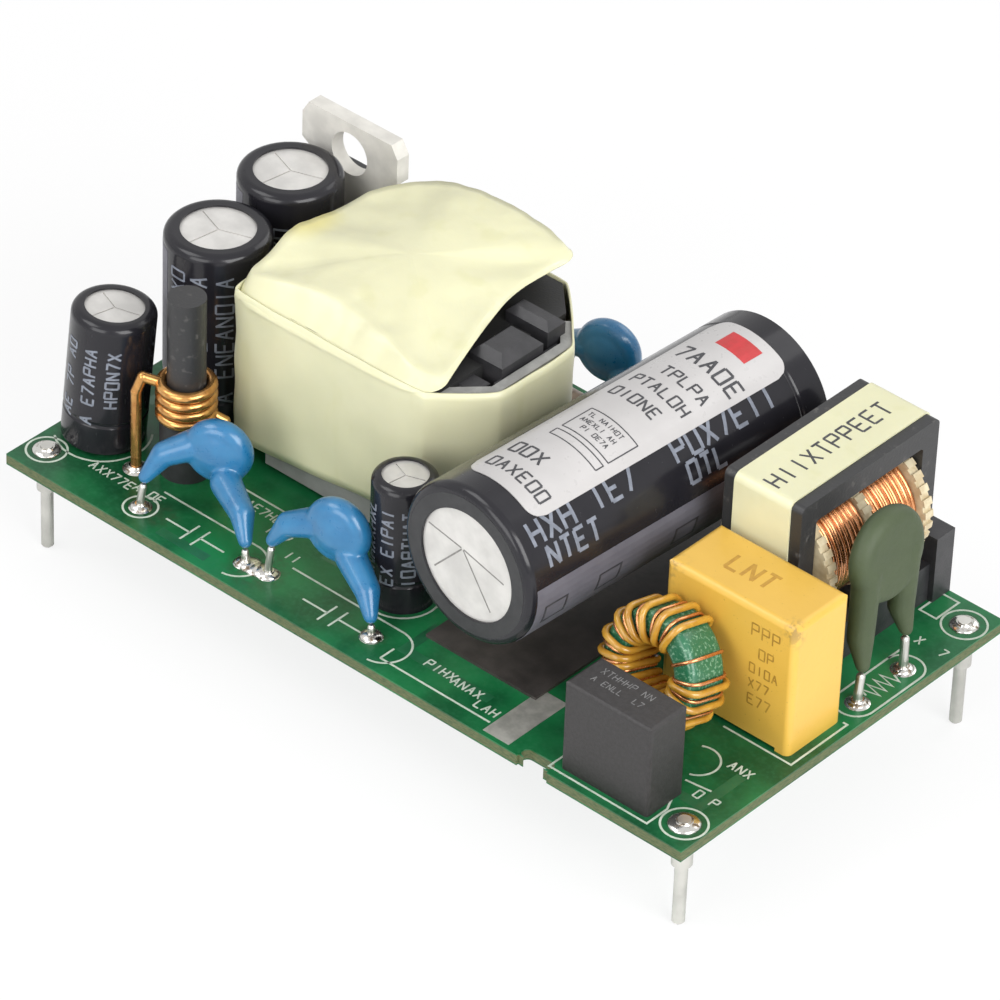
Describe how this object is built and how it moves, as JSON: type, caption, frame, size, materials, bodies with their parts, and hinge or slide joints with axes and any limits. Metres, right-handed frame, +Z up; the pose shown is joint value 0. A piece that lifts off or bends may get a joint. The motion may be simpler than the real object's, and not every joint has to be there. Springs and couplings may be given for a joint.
{
  "type": "open frame power supply",
  "caption": "Open frame AC to DC converter on a printed board: tape-wrapped transformer, lying bulk capacitor, framed choke, toroid and plug-in pins.",
  "frame": {"origin": "centre of the four terminal pins, in the plane of their tips", "axes": "+X along the long edge of the board from the output end to the input end, +Y across the board, +Z up from the pins"},
  "size_m": [0.0676, 0.037, 0.029],
  "materials": {
    "solder_mask": "gloss",
    "tinned_wire": "satin",
    "solder": "gloss",
    "fuse_case": "matt",
    "core_coating": "satin",
    "insulated_wire": "gloss",
    "enamelled_wire": "gloss",
    "film_case": "satin",
    "thermistor_coat": "matt",
    "ferrite": "satin",
    "bobbin_plastic": "satin",
    "polyester_tape": "satin",
    "black_plastic": "satin",
    "can_aluminium": "satin",
    "sleeve": "gloss",
    "label": "satin",
    "insulating_film": "matt",
    "disc_coat": "gloss",
    "resistor_coat": "satin",
    "tinned_tab": "satin",
    "chip_ceramic": "matt"
  },
  "bodies": {
    "root": {"board": "solder_mask", "terminal_pins": "tinned_wire", "solder_joints": "solder", "solder_fillets": "solder", "fuse_body": "fuse_case", "fuse_leads": "tinned_wire", "toroid_core": "core_coating", "toroid_thick_winding": "insulated_wire", "toroid_thin_winding": "enamelled_wire", "film_capacitor": "film_case", "film_capacitor_leads": "tinned_wire", "inrush_thermistor": "thermistor_coat", "thermistor_leads": "tinned_wire", "choke_core": "ferrite", "choke_bobbin": "bobbin_plastic", "choke_windings": "enamelled_wire", "choke_tape": "polyester_tape", "choke_base": "black_plastic", "choke_pins": "tinned_wire", "bulk_can": "can_aluminium", "bulk_sleeve": "sleeve", "bulk_label": "label", "bulk_leads": "tinned_wire", "insulating_sheet": "insulating_film", "flat_transistor": "black_plastic", "side_can": "can_aluminium", "side_sleeve": "sleeve", "disc_capacitor_left": "disc_coat", "disc_capacitor_middle": "disc_coat", "disc_capacitor_rear": "disc_coat", "disc_capacitor_leads": "tinned_wire", "power_resistor": "resistor_coat", "power_resistor_leads": "tinned_wire", "transformer_core": "ferrite", "transformer_bobbin": "black_plastic", "transformer_winding": "enamelled_wire", "transformer_band": "polyester_tape", "transformer_top_tape": "polyester_tape", "transformer_pins": "tinned_wire", "output_can_left": "can_aluminium", "output_sleeve_left": "sleeve", "output_can_middle": "can_aluminium", "output_sleeve_middle": "sleeve", "output_can_rear": "can_aluminium", "output_sleeve_rear": "sleeve", "electrolytic_leads": "tinned_wire", "rod_core": "ferrite", "rod_coil": "enamelled_wire", "rod_tube": "black_plastic", "rectifier_tab": "tinned_tab", "rectifier_body": "black_plastic", "rectifier_leads": "tinned_wire", "bridge_rectifier": "black_plastic", "control_chip": "black_plastic", "optocoupler": "black_plastic", "fast_diodes": "black_plastic", "chip_resistors": "black_plastic", "chip_capacitors": "chip_ceramic"}
  },
  "joints": []
}
